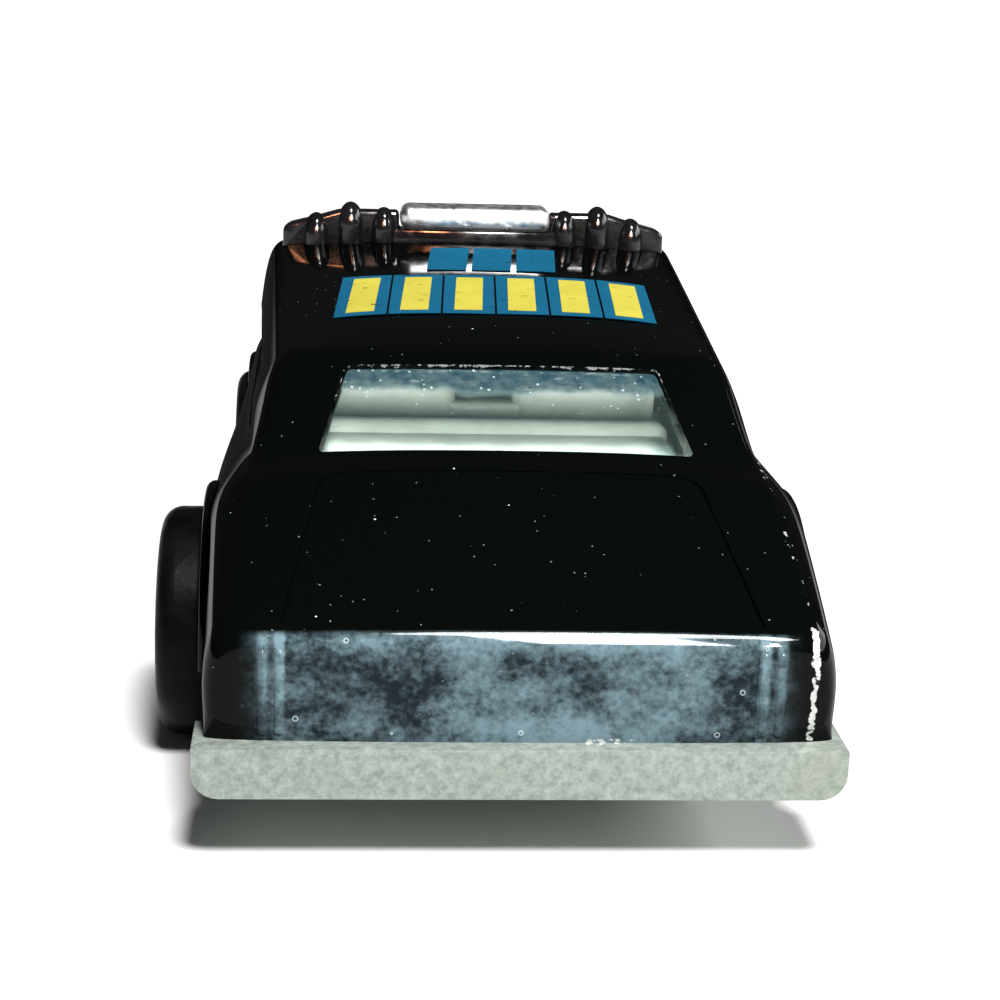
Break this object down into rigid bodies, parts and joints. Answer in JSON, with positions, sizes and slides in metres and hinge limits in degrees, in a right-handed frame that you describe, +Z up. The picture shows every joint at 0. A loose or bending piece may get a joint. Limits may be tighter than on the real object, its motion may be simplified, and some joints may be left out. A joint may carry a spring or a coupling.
{
  "type": "toy police car",
  "caption": "Small die-cast toy police car: black painted shell on a bare metal base with bumpers, clear windows, roof light bar, and wheels that turn on wire axles.",
  "frame": {"origin": "on the ground under the middle of the car, at the middle of its overall box", "axes": "+Y forward, towards the nose; +X to the car's right; +Z up"},
  "size_m": [0.034, 0.072, 0.0234],
  "materials": {
    "black_paint": "high gloss black enamel over cast zinc, chipped to bare metal at a few edges",
    "bare_zinc": "bare die-cast zinc, dull and slightly mottled",
    "clear_plastic": "clear moulding with a slight aqua tint",
    "pale_plastic": "pale grey-green moulded plastic",
    "black_plastic": "gloss black",
    "plating": "bright plating on moulded plastic",
    "axle_wire": "plain steel wire",
    "tyre_plastic": "satin black, scuffed on the side"
  },
  "bodies": {
    "chassis": {"body_shell": "black_paint", "base_plate": "bare_zinc", "windows": "clear_plastic", "interior": "pale_plastic", "light_bar": "black_plastic", "siren_bar": "plating"},
    "front_axle": {"front_axle": "axle_wire"},
    "rear_axle": {"rear_axle": "axle_wire"},
    "front_left_wheel": {"front_left_tyre": "tyre_plastic", "front_left_hub": "plating"},
    "front_right_wheel": {"front_right_tyre": "tyre_plastic", "front_right_hub": "plating"},
    "rear_left_wheel": {"rear_left_tyre": "tyre_plastic", "rear_left_hub": "plating"},
    "rear_right_wheel": {"rear_right_tyre": "tyre_plastic", "rear_right_hub": "plating"}
  },
  "joints": [
    {"name": "front_axle_spin", "type": "hinge", "parent": "chassis", "child": "front_axle", "pos_m": [0, 0.0199, 0.00495], "axis": [1, 0, 0], "continuous": true},
    {"name": "rear_axle_spin", "type": "hinge", "parent": "chassis", "child": "rear_axle", "pos_m": [0, -0.0196, 0.00575], "axis": [1, 0, 0], "continuous": true},
    {"name": "front_left_wheel_spin", "type": "hinge", "parent": "front_axle", "child": "front_left_wheel", "pos_m": [-0.013, 0.0199, 0.00495], "axis": [1, 0, 0], "continuous": true},
    {"name": "front_right_wheel_spin", "type": "hinge", "parent": "front_axle", "child": "front_right_wheel", "pos_m": [0.0149, 0.0199, 0.00495], "axis": [1, 0, 0], "continuous": true},
    {"name": "rear_left_wheel_spin", "type": "hinge", "parent": "rear_axle", "child": "rear_left_wheel", "pos_m": [-0.0146, -0.0196, 0.00575], "axis": [1, 0, 0], "continuous": true},
    {"name": "rear_right_wheel_spin", "type": "hinge", "parent": "rear_axle", "child": "rear_right_wheel", "pos_m": [0.0127, -0.0196, 0.00575], "axis": [1, 0, 0], "continuous": true}
  ]
}
